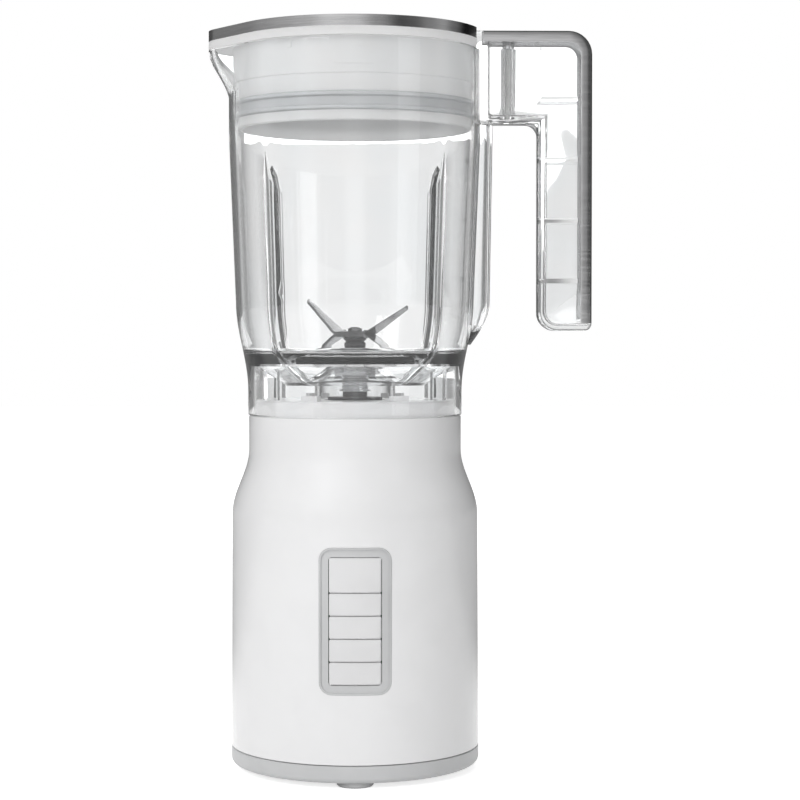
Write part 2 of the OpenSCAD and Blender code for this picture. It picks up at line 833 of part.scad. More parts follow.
module commutator() {
    color("darkgoldenrod") difference() {
        ring(commutator_r, shaft_r + seat_gap, commutator_z, commutator_h);
        for (a = steps(0, 345, 23)) rotate([0, 0, a])
            translate([commutator_r - 1.2, -0.3, commutator_z + 2]) cube([3, 0.6, commutator_h]);
    }
}

module cooling_fan() {
    color("dimgray") difference() {
        union() {
            translate([0, 0, fan_z]) cylinder(r = shaft_r + 5, h = fan_h);
            translate([0, 0, fan_z + fan_h - 1.6]) cylinder(r = fan_r, h = 1.6);
            for (a = steps(0, 320, 8)) rotate([0, 0, a]) translate([shaft_r + 1.5, 0.5, fan_z + 0.5])
                rotate([0, 0, 25]) cube([fan_r - shaft_r - 6, 1.4, fan_h - 1.5]);
        }
        translate([0, 0, fan_z - over]) cylinder(r = shaft_r + seat_gap, h = fan_h + 2 * over);
    }
}

// Star of six lobes round a core, grown by gap
module star(gap) {
    circle(r = dog_r - 1.7 + gap);
    for (a = steps(0, 300, dog_lobes - 1)) rotate([0, 0, a])
        translate([0, -1 - gap]) square([dog_r + gap, 2 + 2 * gap]);
}

module base_coupling() {
    disc_z = coupling_top_z - coupling_disc_t;
    color("dimgray") difference() {
        union() {
            translate([0, 0, coupling_z]) cylinder(r = coupling_hub_r, h = coupling_top_z - coupling_z);
            translate([0, 0, disc_z]) cylinder(r = coupling_disc_r, h = coupling_disc_t);
        }
        translate([0, 0, coupling_z - over]) cylinder(r = shaft_r + seat_gap, h = shaft_top_z - coupling_z + over);
        translate([0, 0, coupling_top_z - dog_depth - 1]) linear_extrude(dog_depth + 2) star(dog_gap);
    }
}

// ---- Jug ----

// Rings of the flared spout, which starts inside the collar's wall
module spout_loft(inset, above) {
    base = jug_top_r - 1;
    flare = [for (t = steps(0, 1, 10)) max(0.01, ease(pow(t, 1.4)))];
    rings = [for (f = flare) teardrop(base - inset, base + (spout_r - base) * f - inset,
                                      base + (spout_reach - base) * f - inset, 24, 16)];
    heights = steps(spout_z, jug_rim_z, 10);
    loft(concat(rings, above > 0 ? [rings[10]] : []), concat(heights, above > 0 ? [jug_rim_z + above] : []));
}

// Heights at which the jug's wall is drawn, from a start up to the collar
function wall_heights(from) = concat(steps(from, wall_z, 18), [collar_z]);

module jug_shell() {
    outer = [for (z = wall_heights(curve_z)) [jug_r(z), z]];
    corner_z = floor_edge_z + floor_round;
    floor_in_r = jug_r(corner_z) - jug_wall;
    inner = [for (z = wall_heights(corner_z)) [jug_r(z) - jug_wall, z]];
    difference() {
        union() {
            rotate_extrude() polygon(concat(
                [[0, jug_z], [skirt_r - 0.4, jug_z], [skirt_r, jug_z + 0.4]], outer,
                [[jug_top_r, jug_rim_z - 0.5], [jug_top_r - 0.5, jug_rim_z], [0, jug_rim_z]]));
            spout_loft(0, 0);
        }
        rotate_extrude() polygon(concat(
            [[0, boss_top_z], [boss_r, boss_top_z], [boss_r + 3, boss_top_z - 3], [trough_r[0], trough_z],
             [trough_r[1], trough_z]], arc([floor_in_r - floor_round, corner_z], floor_round, 270, 345, 4), inner,
            [[jug_in_r, jug_rim_z + over], [0, jug_rim_z + over]]));
        rotate_extrude() polygon([
            [0, jug_z - over], [skirt_in_r, jug_z - over], [skirt_in_r, floor_edge_z - 6.8],
            [skirt_in_r - 2, floor_edge_z - 5.4], [trough_r[1], trough_z - floor_t],
            [trough_r[0] - 0.5, trough_z - floor_t], [boss_r + 2.5, boss_top_z - boss_t - floor_t],
            [boss_r + 1.3, boss_top_z - boss_t], [0, boss_top_z - boss_t]]);
        spout_loft(jug_wall, over);
        translate([0, 0, trough_z]) cylinder(r = housing_tube_r + 0.05, h = boss_top_z);
    }
}

// Ridge that runs down the wall and in along the floor, pointed at both ends
module jug_rib() {
    corner = jug_r(floor_edge_z + floor_round) - jug_wall;
    slope = [corner - floor_round, floor_edge_z] - [trough_r[1], trough_z];
    up = [-slope.y, slope.x] / norm(slope);
    tip = [for (f = [0.03, 0.25, 0.5, 0.75, 1]) let (z = rib_top_z - rib_tip_h * f)
        [[jug_r(z) - jug_wall, z], [-1, 0] * rib_depth * f, rib_w * pow(f, 0.7)]];
    wall = [for (z = steps(wall_z - 1.5, floor_edge_z + 8, 5))
        [[jug_r(z) - jug_wall, z], [-rib_depth, 0], rib_w]];
    bend = [[[corner - 0.3 * floor_round, floor_edge_z + 0.3 * floor_round], [-0.8, 0.6] * rib_depth, rib_w]];
    floor = [for (f = [0.85, 0.4]) [[trough_r[1], trough_z] + slope * f, up * rib_depth, rib_w]];
    end = [[[trough_r[1], trough_z], [-1.4, 2.7], rib_w * 0.8], [[trough_r[0] + 2, trough_z], [0, 0.4], 1]];
    stations = concat(tip, wall, bend, floor, end);
    around_n = 10;
    n = around_n + 3;
    last = len(stations) - 1;
    points = [for (t = stations)
        let (out = t[1] / norm(t[1]), low = t[0] - 0.3 * out, rise = t[1] + 0.3 * out, root = t[0] - 0.9 * out)
        each concat(
            [for (a = steps(180, 0, around_n)) [low.x + rise.x * sin(a), t[2] / 2 * cos(a), low.y + rise.y * sin(a)]],
            [[root.x, t[2] / 2, root.y], [root.x, -t[2] / 2, root.y]])];
    sides = [for (k = [0:last - 1]) for (i = [0:n - 1])
        let (j = (i + 1) % n, a = k * n, b = a + n)
        each [[a + i, b + i, b + j], [a + i, b + j, a + j]]];
    polyhedron(points, concat(sides, [[for (i = [0:n - 1]) i], [for (i = [n - 1:-1:0]) last * n + i]]));
}

// Outer edge of the spine under the handle's arm
function spine_r(z) = jug_r(z) + (z < wall_z
    ? spine_depth * sin(90 * max(0, (z - spine_z) / (wall_z - spine_z)))
    : spine_depth - 2.3 * (z - wall_z) / (arm_z - wall_z));

// Outline of the spine seen from above, rounded on the outside
function spine_ring(from, to, half_w, n = 12) =
    let (r = min(half_w, to - from - 0.3))
    concat([[from, -half_w]], [for (a = steps(-90, 90, n)) [to - r + r * cos(a), half_w * sin(a)]], [[from, half_w]]);

// Hollow spine, open at its top where the arm closes it
module jug_spine() {
    low = spine_z + 3;
    heights = concat(steps(low, wall_z, 9), [collar_z, arm_z]);
    hollow = [for (z = heights) if (z > low + 9) z];
    core = [for (z = hollow) spine_ring(jug_r(z) + 0.4, spine_r(z) - spine_wall, spine_w / 2 - spine_wall)];
    difference() {
        loft([for (z = heights) spine_ring(jug_r(z) - 1.2, spine_r(z), spine_w / 2)], heights);
        loft(concat(core, [core[len(core) - 1]]), concat(hollow, [arm_z + over]));
    }
}

module jug_body() {
    leg_z = deck_z + leg_gap;
    color("aliceblue", 0.5) union() {
        jug_shell();
        around(diagonals, 0) jug_rib();
        jug_spine();
        ring(guard_r, guard_r - guard_t, deck_z + 0.7, trough_z + 4 - deck_z - 0.7);
        around(leg_angles, skirt_in_r + over - leg_len)
            translate([0, -leg_t / 2, leg_z]) cube([leg_len, leg_t, trough_z + 4.5 - leg_z]);
    }
}

// ---- Handle ----

// Rounded slab standing in X and Z, with its edges rounded towards both sides
module soft_slab(low, high, r, half_w, edge) {
    hull() for (a = [0, 45, 90]) {
        e = edge * (1 - cos(a));
        rotate([90, 0, 0]) linear_extrude(2 * (half_w - edge * (1 - sin(a))), center = true)
            polygon(round_rect([low.x + e, low.y + e], [high.x - e, high.y - e],
                               [for (q = r) max(0.4, q - e)], 8));
    }
}

// Arm and grip, drawn in by inset on the top, the outside and both faces
module handle_form(inset) {
    high = [handle_reach - inset, top_z - inset];
    half_w = handle_w / 2 - inset;
    edge = handle_edge - inset / 2;
    soft_slab([handle_x - 8, arm_z], high, [1, 1, handle_round - inset, 1], half_w, edge);
    soft_slab([grip_x, handle_z], high, [grip_round, 4, handle_round - inset, 4], half_w, edge);
}

// Where the steel strip lies: everything outside the core, above the grip's end cap
module strip_space(gap) {
    difference() {
        translate([handle_x + 1 + gap, -handle_w, strip_end_z + gap])
            cube([handle_reach, 2 * handle_w, handle_h + over]);
        rotate([90, 0, 0]) linear_extrude(4 * handle_w, center = true)
            polygon(round_rect([0, 0], [handle_reach - strip_w + gap, top_z - strip_w + gap],
                               [1, 1, handle_round - strip_w + gap, 1], 8));
    }
}

module jug_handle() {
    inner_w = handle_w - 2 * handle_wall;
    hollow_x = handle_reach - 5;
    color("aliceblue", 0.5) difference() {
        union() {
            handle_form(0);
            rotate([90, 0, 0]) linear_extrude(handle_w - 2 * handle_edge, center = true)
                polygon(concat([[grip_x + 1, arm_z + 1], [grip_x - web_round, arm_z + 1]],
                               arc([grip_x - web_round, arm_z - web_round], web_round, 90, 0, 8),
                               [[grip_x + 1, arm_z - web_round]]));
        }
        difference() {
            strip_space(0);
            handle_form(strip_t);
        }
        difference() {
            union() {
                soft_slab([handle_x + handle_wall, arm_z + handle_wall], [handle_reach + 9, top_z + 9],
                          [3, 3, 3, 3], inner_w / 2, 1.5);
                soft_slab([grip_x + handle_wall, strip_end_z - 0.6], [handle_reach + 9, top_z + 9],
                          [grip_round - 3, 3, 3, 3], inner_w / 2, 1.5);
            }
            for (z = grip_rib_z) translate([grip_x, -handle_w / 2, z]) cube([hollow_x - grip_x, handle_w, grip_rib_t]);
            translate([grip_x, -handle_w / 2, grip_rib_z[0]]) cube([1.2, handle_w, arm_h - 21]);
            translate([handle_boss_x, 0, arm_z]) cylinder(r = handle_boss_r, h = arm_h - strip_w - 3);
        }
        translate([handle_boss_x, 0, arm_z - over]) {
            cylinder(r = screw_r + 0.2, h = arm_h + 2 * over);
            cylinder(r = screw_head_r + 0.3, h = over + 3);
        }
        translate([0, 0, arm_z - over]) cylinder(r = jug_top_r + 0.05, h = jug_rim_z + lid_gap - arm_z + over);
        translate([0, -handle_w, arm_z]) cube([lid_flat_x + 0.6, 2 * handle_w, arm_h + over]);
    }
}

module handle_strip() {
    lug_z = arm_z + arm_h - strip_w - 3 + seat_gap;
    color("darkgray") difference() {
        union() {
            intersection() {
                strip_space(seat_gap);
                difference() {
                    handle_form(0);
                    handle_form(strip_t - seat_gap);
                }
            }
            translate([handle_boss_x, 0, lug_z]) cylinder(r = handle_boss_r - 1, h = top_z - strip_t / 2 - lug_z);
        }
        translate([handle_boss_x, 0, lug_z - over]) cylinder(r = screw_r, h = top_z - 3 - lug_z + over);
    }
}

module handle_screw() {
    head_top = arm_z + 3 - seat_gap;
    color("gray") translate([handle_boss_x, 0, 0]) screw(head_top - 2, arm_h - 10);
}

// ---- Blade bearing in the jug's floor ----

module blade_housing() {
    top = boss_top_z + housing_flange_t;
    color("silver") rotate_extrude() polygon([
        [bush_r, housing_bottom_z], [housing_tube_r, housing_bottom_z], [housing_tube_r, boss_top_z],
        [housing_flange_r, boss_top_z], [housing_flange_r, top - 0.4], [housing_flange_r - 0.6, top],
        [blade_shaft_r + 0.6, top], [blade_shaft_r + 0.6, boss_top_z], [bush_r, boss_top_z]]);
}

module blade_bushes() {
    color("goldenrod") for (z = [housing_bottom_z + 0.2, boss_top_z - bush_h - 0.1])
        ring(bush_r - seat_gap, blade_shaft_r + run_gap, z, bush_h);
}

module shaft_seal() {
    low = housing_bottom_z + 0.2 + bush_h + 0.2;
    color("dimgray") ring(bush_r - seat_gap, blade_shaft_r + 0.05, low, boss_top_z - bush_h - 0.3 - low);
}

module floor_washer() {
    color("silver") ring(washer_r, housing_tube_r + 0.05, boss_top_z - boss_t - washer_t, washer_t);
}

module retaining_nut() {
    low = boss_top_z - boss_t - washer_t - nut_h;
    color("silver") difference() {
        translate([0, 0, low]) cylinder(r = nut_r, h = nut_h, $fn = 6);
        translate([0, 0, low - over]) cylinder(r = housing_tube_r + 0.05, h = nut_h + 2 * over);
    }
}

module thrust_washer() {
    color("silver") ring(thrust_r, blade_shaft_r + 0.2, housing_bottom_z - thrust_t, thrust_t);
}

// ---- Blade ----

// Where the outer side of a bend ends, and how far the straight wing then runs to reach tip
bend_r = 2;
function bend_end(from, angle, t) = [from + (bend_r + t) * sin(angle), t + bend_r - (bend_r + t) * cos(angle)];
function wing_run(from, angle, tip, t) = (tip - bend_end(from, angle, t).x) / cos(angle);

// Side outline of a strip that is flat to from and then bends up by angle to reach tip
function bent_half(from, angle, tip, t) =
    let (c = [from, t + bend_r], low = bend_end(from, angle, t), up = t * [-sin(angle), cos(angle)],
         reach = wing_run(from, angle, tip, t) * [cos(angle), sin(angle)])
    concat(arc(c, bend_r + t, 270, 270 + angle, 5), [low + reach, low + reach + up],
           arc(c, bend_r, 270 + angle, 270, 5));

// What is ground off the leading edge of a wing, drawn in the wing's own plane
module wing_bevel(angle, tip) {
    low = bend_end(blade_hub_r, angle, blade_t);
    run = wing_run(blade_hub_r, angle, tip, blade_t);
    translate([low.x, 0, low.y]) rotate([0, -angle, 0]) translate([1, -wing_root_w / 2, wing_edge_t])
        rotate([0, 0, atan(wing_skew / run)]) rotate([atan((blade_t - wing_edge_t) / wing_grind), 0, 0])
            translate([0, -wing_root_w, 0]) cube([2 * run, 2 * wing_root_w, 2 * blade_t]);
}

// Two-wing blade: the bent strip, cut to the wings' outline; its wings taper to ground tips
module blade(angles, tips) {
    half = bent_half(blade_hub_r, angles[0], tips[0], blade_t);
    far = bent_half(blade_hub_r, angles[1], tips[1], blade_t);
    other = [for (i = [len(far) - 1:-1:0]) [-far[i].x, far[i].y]];
    edge_y = wing_skew - wing_root_w / 2;
    difference() {
        intersection() {
            rotate([90, 0, 0]) linear_extrude(2 * wing_root_w, center = true) polygon(concat(half, other));
            translate([0, 0, -over]) linear_extrude(tips[0] * 2)
                for (i = [0, 1]) rotate(180 * i) polygon([
                    [0, -wing_root_w / 2], [blade_hub_r, -wing_root_w / 2], [tips[i], edge_y],
                    [tips[i] - wing_slant, edge_y + wing_tip_w], [blade_hub_r, wing_root_w / 2],
                    [0, wing_root_w / 2]]);
        }
        for (i = [0, 1]) rotate([0, 0, 180 * i]) wing_bevel(angles[i], tips[i]);
        translate([0, 0, -over]) cylinder(r = blade_shaft_r + seat_gap, h = 4 * blade_t);
    }
}

module upper_blade() {
    low_run = wing_run(blade_hub_r, blade_up_low, blade_r, blade_t);
    up_r = bend_end(blade_hub_r, blade_up, blade_t).x + low_run * cos(blade_up);
    color("silver") translate([0, 0, blade_z]) rotate([0, 0, upper_blade_turn])
        blade([blade_up_low, blade_up], [blade_r, up_r]);
}

module lower_blade() {
    color("silver") translate([0, 0, blade_z - seat_gap]) mirror([0, 0, 1])
        rotate([0, 0, -lower_blade_turn]) blade([blade_down, blade_down], [lower_blade_r, lower_blade_r]);
}

module blade_shaft() {
    low = coupling_top_z - dog_depth + 2;
    top = blade_z + blade_t;
    color("silver") {
        translate([0, 0, low]) cylinder(r = blade_shaft_r, h = top - low);
        translate([0, 0, top - over]) cylinder(r = blade_stud_r, h = blade_nut_h + over);
    }
}

module blade_spacer() {
    low = boss_top_z + housing_flange_t + 0.3;
    top = blade_z - blade_t - 2 * seat_gap;
    in_r = blade_shaft_r + seat_gap;
    color("dimgray") rotate_extrude() polygon([
        [in_r, low], [5.6, low], [6, low + 0.4], [6, low + 1.6], [5, low + 2.6], [6.4, top - 1.2],
        [6.4, top], [in_r, top]]);
}

module blade_nut() {
    low = blade_z + blade_t + seat_gap;
    color("silver") difference() {
        union() {
            translate([0, 0, low]) cylinder(r = 3.9, h = blade_nut_h, $fn = 6);
            translate([0, 0, low + blade_nut_h]) cylinder(r1 = 3.1, r2 = 2.2, h = 0.7);
        }
        translate([0, 0, low - over]) cylinder(r = blade_stud_r + seat_gap, h = blade_nut_h + 0.3 + over);
    }
}

module jug_coupling() {
    low = coupling_top_z - dog_depth + 0.3;
    neck_z = coupling_top_z + 0.3;
    top = housing_bottom_z - thrust_t - 0.3;
    color("dimgray") difference() {
        union() {
            translate([0, 0, low]) linear_extrude(neck_z - low + 0.2) star(0);
            translate([0, 0, neck_z]) cylinder(r = neck_dog_r, h = top - neck_z);
        }
        translate([0, 0, low + 1.7]) cylinder(r = blade_shaft_r + seat_gap, h = 20);
    }
}

// ---- Lid ----

// Lid outline: the rim's teardrop with a flat next to the handle
module lid_outline(inset) {
    r = jug_top_r + lid_edge;
    difference() {
        polygon(teardrop(r - inset, spout_r - inset, spout_reach - inset));
        translate([lid_flat_x - inset, -2 * r]) square([r, 4 * r]);
    }
}

module lid_body() {
    r = lid_skirt_r;
    in_r = r - lid_skirt_t;
    groove_r = r - 0.8 - seal_groove;
    color("white") difference() {
        union() {
            translate([0, 0, lid_z]) linear_extrude(flange_h) lid_outline(0);
            translate([0, 0, lid_z]) linear_extrude(top_z - 0.8 - lid_z) lid_outline(band_t + seat_gap);
            rotate_extrude() polygon([
                [in_r, lid_skirt_z], [r - 1.3, lid_skirt_z], [r - 0.8, lid_skirt_z + 0.5], [r - 0.8, seal_z],
                [groove_r, seal_z], [groove_r, seal_z + seal_h], [r - 0.8, seal_z + seal_h],
                [r - 0.8, lid_step_z], [r, lid_step_z + 0.6], [r, lid_z + over], [in_r, lid_z + over]]);
            lid_lugs();
        }
        difference() {
            translate([0, 0, tray_z]) linear_extrude(2 * band_h) lid_outline(band_t + 1.8);
            translate([0, 0, tray_z - over]) cylinder(r = filler_r + 2.4, h = over + cap_collar_h);
        }
        difference() {
            translate([0, 0, lid_skirt_z]) cylinder(r = in_r, h = tray_z - lid_floor_t - lid_skirt_z);
            translate([0, 0, cap_z - cap_depth + 5]) cylinder(r = filler_r + 2.4, h = 2 * cap_depth);
        }
        translate([0, 0, lid_skirt_z]) cylinder(r = filler_r, h = lid_skirt_h * 2);
    }
}

// Locking bar, its hook and a locating peg on the front of the skirt
module lid_lugs() {
    bar_w = 21;
    bar_h = 4.6;
    bar_z = jug_rim_z - 12.3;
    proud = lid_skirt_r + 0.6;
    intersection() {
        union() {
            translate([-bar_w / 2, -proud, bar_z - bar_h / 2]) cube([bar_w, 4, bar_h]);
            translate([-0.7, -proud, bar_z]) cube([1.4, 4, 9]);
            translate([-0.7, -proud, bar_z + 7]) cube([7, 4, 1.6]);
            rotate([0, 0, -32]) translate([0, -proud, bar_z + 7]) cube([2.4, 4, 4]);
        }
        cylinder(r = proud, h = top_z);
    }
}

module lid_band() {
    low = lid_z + flange_h + seat_gap;
    color("darkgray") difference() {
        translate([0, 0, low]) linear_extrude(top_z - low) lid_outline(0);
        translate([0, 0, low - over]) linear_extrude(top_z - 0.8 + seat_gap - low + over) lid_outline(band_t);
        translate([0, 0, low - over]) linear_extrude(2 * band_h) lid_outline(band_t + 1.8);
    }
}

module lid_seal() {
    r = lid_skirt_r - 0.8;
    in_r = r - seal_groove + seat_gap;
    low = seal_z + seat_gap;
    high = seal_z + seal_h - seat_gap;
    lip_r = jug_in_r - 0.3;
    color("gainsboro") rotate_extrude() polygon([
        [in_r, low], [r, low], [lip_r, low + 0.8], [lip_r, low + 2.2], [r - 0.4, low + 3],
        [r - 0.4, high - 3], [lip_r, high - 2.2], [lip_r, high - 0.8], [r, high], [in_r, high]]);
}

// Cup-shaped cap with two finger hollows, turned with its open end down
module filler_cap() {
    r = filler_r - cap_gap;
    color("white") difference() {
        union() {
            translate([0, 0, cap_z]) cylinder(r = filler_r + cap_flange, h = cap_top_z - cap_z - 0.8);
            translate([0, 0, cap_top_z - 0.8])
                cylinder(r1 = filler_r + cap_flange, r2 = filler_r + cap_flange - 0.8, h = 0.8);
            translate([0, 0, cap_z - cap_depth]) cylinder(r = r, h = cap_depth + over);
        }
        translate([0, 0, cap_z - cap_depth - over]) cylinder(r = r - cap_wall, h = cap_depth + over - 2.4);
        ring(r + over, r - 0.8, cap_seal_z, cap_seal_h);
        for (x = [-11, 11]) translate([x, 0, cap_top_z + 11.2]) sphere(r = 14);
    }
}

module cap_seal() {
    r = filler_r - cap_gap;
    color("gainsboro") ring(filler_r - 0.3, r - 0.8 + seat_gap, cap_seal_z + seat_gap, cap_seal_h - 2 * seat_gap);
}

// ---- Nodes ----

base_housing();
bottom_cover();
feet();
housing_screws();
cord_gland();
key_bezel();
key_1();
key_2();
key_3();
key_4();
key_5();
switch_block();
control_board();
board_screws();
jug_seat();
drive_seal();
motor_dampers();
motor_screws();
upper_bracket();
lower_bracket();
tie_bolts();
stator_core();
field_coils();
upper_bearing();
lower_bearing();
brush_holders();
carbon_brushes();
brush_springs();
fan_shroud();
motor_shaft();
armature_core();
armature_windings();
commutator();
cooling_fan();
base_coupling();
jug_body();
jug_handle();
handle_strip();
handle_screw();
blade_housing();
blade_bushes();
shaft_seal();
floor_washer();
retaining_nut();
thrust_washer();
upper_blade();
lower_blade();
blade_shaft();
blade_spacer();
blade_nut();
jug_coupling();
lid_body();
lid_band();
lid_seal();
filler_cap();
cap_seal();
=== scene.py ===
import json
import math

import bpy
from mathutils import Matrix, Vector


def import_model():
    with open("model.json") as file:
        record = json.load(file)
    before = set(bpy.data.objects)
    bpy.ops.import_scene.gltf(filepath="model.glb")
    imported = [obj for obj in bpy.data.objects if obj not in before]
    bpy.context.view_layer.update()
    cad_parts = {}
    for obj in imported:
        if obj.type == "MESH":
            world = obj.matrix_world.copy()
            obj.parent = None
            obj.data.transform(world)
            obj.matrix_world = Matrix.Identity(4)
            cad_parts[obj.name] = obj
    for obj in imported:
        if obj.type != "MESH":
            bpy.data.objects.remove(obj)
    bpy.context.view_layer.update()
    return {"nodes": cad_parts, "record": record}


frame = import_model()
NODES = frame["nodes"]
SCENE = bpy.context.scene
MM = 0.001

# Vertices nearer to each other than this become one
WELD_GAP = 0.002 * MM
# Edges with a larger angle than this stay sharp
SHARP_ANGLE = math.radians(32)


# ---- node helpers ----

class Shader:
    """A small builder for one node tree."""

    def __init__(self, tree):
        self.tree = tree
        tree.nodes.clear()

    def add(self, kind, **values):
        n = self.tree.nodes.new(kind)
        for key, value in values.items():
            if hasattr(n, key) and key not in n.inputs:
                setattr(n, key, value)
            else:
                self.put(n, key.replace("_", " "), value)
        return n

    def set(self, socket, value):
        """Link another node's output to the socket, or give it a plain value."""
        if isinstance(value, bpy.types.NodeSocket):
            self.tree.links.new(value, socket)
        else:
            socket.default_value = value

    def put(self, n, name, value):
        self.set(n.inputs[name], value)

    def math(self, op, a, b=0.0, clamp=False):
        n = self.tree.nodes.new("ShaderNodeMath")
        n.operation = op
        n.use_clamp = clamp
        self.set(n.inputs[0], a)
        self.set(n.inputs[1], b)
        return n.outputs[0]

    def product(self, *factors):
        result = factors[0]
        for factor in factors[1:]:
            result = self.math("MULTIPLY", result, factor)
        return result

    def remap(self, value, low, high, to_low, to_high, smooth=True):
        n = self.tree.nodes.new("ShaderNodeMapRange")
        n.interpolation_type = "SMOOTHSTEP" if smooth else "LINEAR"
        self.put(n, "Value", value)
        for key, v in (("From Min", low), ("From Max", high), ("To Min", to_low), ("To Max", to_high)):
            self.put(n, key, v)
        return n.outputs["Result"]

    def mix(self, factor, a, b):
        n = self.tree.nodes.new("ShaderNodeMix")
        n.data_type = "RGBA"
        # inputs 6 and 7 and output 2 are the colour ones
        for i, v in ((0, factor), (6, a), (7, b)):
            self.set(n.inputs[i], v)
        return n.outputs[2]

    def mix_shaders(self, factor, a, b):
        n = self.tree.nodes.new("ShaderNodeMixShader")
        for i, v in enumerate((factor, a, b)):
            self.set(n.inputs[i], v)
        return n.outputs[0]

    def stretch(self, scale):
        """Object coordinates in metres, scaled per axis."""
        coords = self.add("ShaderNodeTexCoord")
        return self.add("ShaderNodeMapping", Scale=scale, Vector=coords.outputs["Object"]).outputs["Vector"]

    def noise(self, scale, detail=3.0, rough=0.5, stretch=(1, 1, 1)):
        vector = self.stretch(stretch)
        n = self.add("ShaderNodeTexNoise", Vector=vector, Scale=scale, Detail=detail, Roughness=rough)
        return n.outputs["Fac"]

    def bump(self, height, strength, distance):
        n = self.add("ShaderNodeBump", Strength=strength, Distance=distance, Height=height)
        return n.outputs["Normal"]


def grey(v):
    return (v, v, v, 1.0)


def shade(colour, factor):
    """A colour made darker or lighter, up to white."""
    return tuple(min(1.0, c * factor) for c in colour) + (1.0,)


# ---- kinds of material ----

def material(name, build):
    m = bpy.data.materials.new(name)
    m.use_nodes = True
    s = Shader(m.node_tree)
    out = s.add("ShaderNodeOutputMaterial")
    bsdf = s.add("ShaderNodeBsdfPrincipled")
    s.put(out, "Surface", bsdf.outputs[0])
    build(s, bsdf, out)
    return m


def moulded(colour, rough, grain, relief, mottle, coat=0.0, subsurface=0.0, metallic=0.0):
    """Moulded plastic or cast metal: fine grain, faint mottling and slight changes of gloss."""
    def build(s, b, out):
        cloud = s.noise(35, 4)
        fine = s.noise(grain, 2)
        darker, lighter = shade(colour, 1 - mottle), shade(colour, 1 + mottle)
        s.put(b, "Base Color", s.mix(s.remap(cloud, 0.35, 0.65, 0, 1), darker, lighter))
        s.put(b, "Roughness", s.remap(cloud, 0.3, 0.7, rough * 0.88, rough * 1.12))
        s.put(b, "Normal", s.bump(fine, relief, 0.05 * MM))
        b.inputs["Metallic"].default_value = metallic
        b.inputs["Coat Weight"].default_value = coat
        b.inputs["Coat Roughness"].default_value = 0.06
        if subsurface:
            b.inputs["Subsurface Weight"].default_value = subsurface
            b.inputs["Subsurface Radius"].default_value = (1, 1, 1)
            b.inputs["Subsurface Scale"].default_value = 6 * MM
    return build


def frosted(colour, rough, share):
    """Milky plastic: a share of its surface passes on the light that falls on its far side."""
    def build(s, b, out):
        moulded(colour, rough, 1100, 0.1, 0.015)(s, b, out)
        behind = s.add("ShaderNodeBsdfTranslucent", Color=colour + (1.0,))
        s.put(out, "Surface", s.mix_shaders(share, b.outputs[0], behind.outputs[0]))
    return build


def clear(tint, haze, absorb, rough=0.0):
    """Clear moulded plastic: a little haze on its faces, faint flow ripples, greyer where it is thick."""
    ior = 1.49
    waviness = 0.015
    # share of a lamp's light that a face lets pass
    lamp_pass = 0.8

    def build(s, b, out):
        flow = s.noise(60, 2, 0.4, (1, 1, 0.3))
        bluish = (tint * 0.985, tint * 0.995, tint, 1)
        s.put(b, "Base Color", s.mix(s.remap(s.noise(25, 2), 0.3, 0.7, 0, 1), grey(tint), bluish))
        b.inputs["Roughness"].default_value = rough
        b.inputs["IOR"].default_value = ior
        b.inputs["Transmission Weight"].default_value = 1.0 - haze
        b.inputs["Specular Tint"].default_value = grey(0.7)
        s.put(b, "Normal", s.bump(flow, waviness, 0.4 * MM))
        # light from the lamps goes straight on and isn't bent
        path = s.add("ShaderNodeLightPath")
        straight = s.add("ShaderNodeBsdfTransparent", Color=grey(lamp_pass))
        s.put(out, "Surface", s.mix_shaders(path.outputs["Is Shadow Ray"], b.outputs[0], straight.outputs[0]))
        inside = s.add("ShaderNodeVolumeAbsorption", Color=grey(0.5), Density=absorb)
        s.put(out, "Volume", inside.outputs[0])
    return build


def brushed(colour, rough, stretch, relief):
    """Brushed metal: fine scratches that run along the axes with a small stretch."""
    def build(s, b, out):
        lines = s.noise(900, 6, 0.7, stretch)
        wide = s.noise(18, 3, 0.5, tuple(min(1, 3 * v) for v in stretch))
        darker, lighter = shade(colour, 0.86), shade(colour, 1.06)
        s.put(b, "Base Color", s.mix(s.remap(lines, 0.3, 0.7, 0, 1), darker, lighter))
        both = s.math("ADD", s.product(lines, 0.6), s.product(wide, 0.4))
        s.put(b, "Roughness", s.remap(both, 0.3, 0.7, rough * 0.7, rough * 1.35))
        s.put(b, "Normal", s.bump(lines, relief, 0.02 * MM))
        b.inputs["Metallic"].default_value = 1.0
    return build


def turned(colour, rough, pitch=2600, relief=0.3):
    """Turned metal: fine rings across Z, with a little variation of tone."""
    def build(s, b, out):
        rings = s.noise(pitch, 3, 0.6, (0.02, 0.02, 1))
        cloud = s.noise(60, 3)
        darker, lighter = shade(colour, 0.85), shade(colour, 1.05)
        s.put(b, "Base Color", s.mix(s.remap(cloud, 0.3, 0.7, 0, 1), darker, lighter))
        s.put(b, "Roughness", s.remap(rings, 0.3, 0.7, rough * 0.8, rough * 1.3))
        s.put(b, "Normal", s.bump(rings, relief, 0.02 * MM))
        b.inputs["Metallic"].default_value = 1.0
    return build


def wound(colour, pitch, axis):
    """Wound wire under enamel: ridges across one axis."""
    def build(s, b, out):
        wave = s.add("ShaderNodeTexWave", wave_type="BANDS", bands_direction=axis)
        s.put(wave, "Vector", s.stretch((1, 1, 1)))
        wave.inputs["Scale"].default_value = pitch
        wave.inputs["Distortion"].default_value = 0.6
        s.put(b, "Base Color", s.mix(wave.outputs["Fac"], shade(colour, 0.55), shade(colour, 1)))
        s.put(b, "Normal", s.bump(wave.outputs["Fac"], 0.7, 0.3 * MM))
        b.inputs["Metallic"].default_value = 0.85
        b.inputs["Roughness"].default_value = 0.38
    return build


